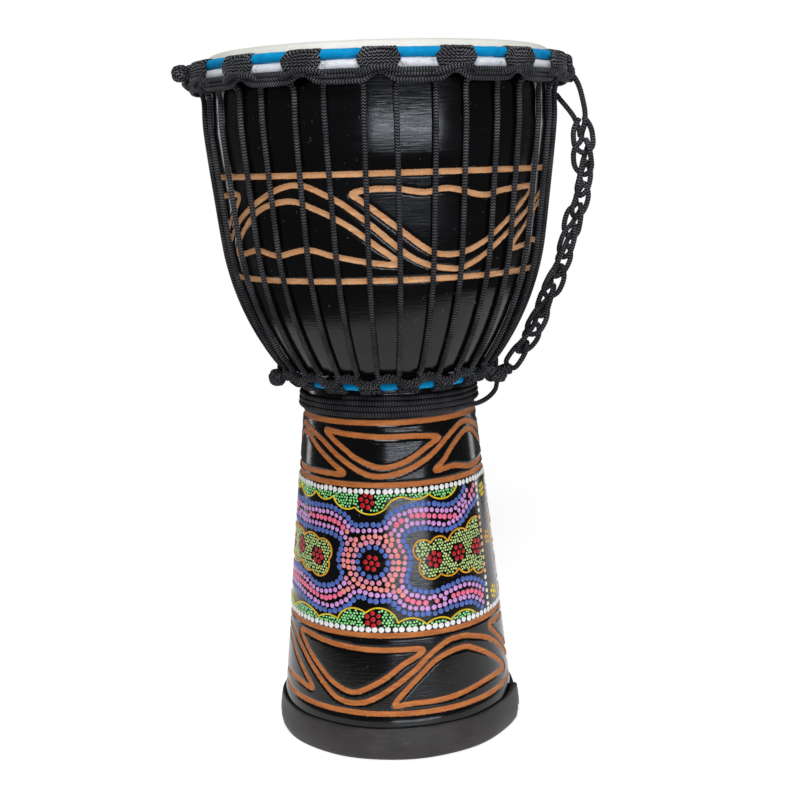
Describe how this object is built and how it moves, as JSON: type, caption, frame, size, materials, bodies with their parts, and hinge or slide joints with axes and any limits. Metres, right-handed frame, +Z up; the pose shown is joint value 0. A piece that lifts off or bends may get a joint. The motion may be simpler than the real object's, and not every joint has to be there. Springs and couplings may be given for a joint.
{
  "type": "djembe",
  "caption": "Rope-tuned goblet drum with a skin head, ring and cord tensioning, carved and painted wooden shell, rubber foot and a chain-knotted rope handle.",
  "frame": {"origin": "centre of the foot, on the surface that the drum stands on", "axes": "+Z up the drum to the head, -Y the front that the picture shows, +X the side with the rope handle"},
  "size_m": [0.3595, 0.3322, 0.6],
  "materials": {
    "shell_wood": "black lacquer over turned hardwood, satin, with bare carved lines",
    "foot_rubber": "dark grey rubber strip, matt",
    "goat_skin": "bleached hide, taut, satin",
    "ring_steel": "round steel wire, dull",
    "ring_cloth": "bright blue woven cloth, wound tight",
    "black_cord": "black braided polyester cord"
  },
  "bodies": {
    "drum": {"shell": "shell_wood", "foot_band": "foot_rubber", "drumhead": "goat_skin", "flesh_ring": "ring_steel", "crown_ring": "ring_steel", "crown_ring_cloth": "ring_cloth", "crown_hitches": "black_cord", "crown_loops": "black_cord", "base_ring": "ring_steel", "base_ring_cloth": "ring_cloth", "base_hitches": "black_cord", "base_loops": "black_cord", "tension_rope": "black_cord", "neck_winding": "black_cord", "rope_end_knot": "black_cord", "base_ring_knot": "black_cord", "handle_top_knot": "black_cord", "handle_bottom_knot": "black_cord"},
    "handle": {"handle_chain": "black_cord", "handle_outer_strand": "black_cord", "handle_inner_strand": "black_cord"}
  },
  "joints": [
    {"name": "handle_swing", "type": "hinge", "parent": "drum", "child": "handle", "pos_m": [0.1675, 0, 0.573], "axis": [-0.262, 0, -0.9651], "range_deg": [-38, 38]}
  ]
}
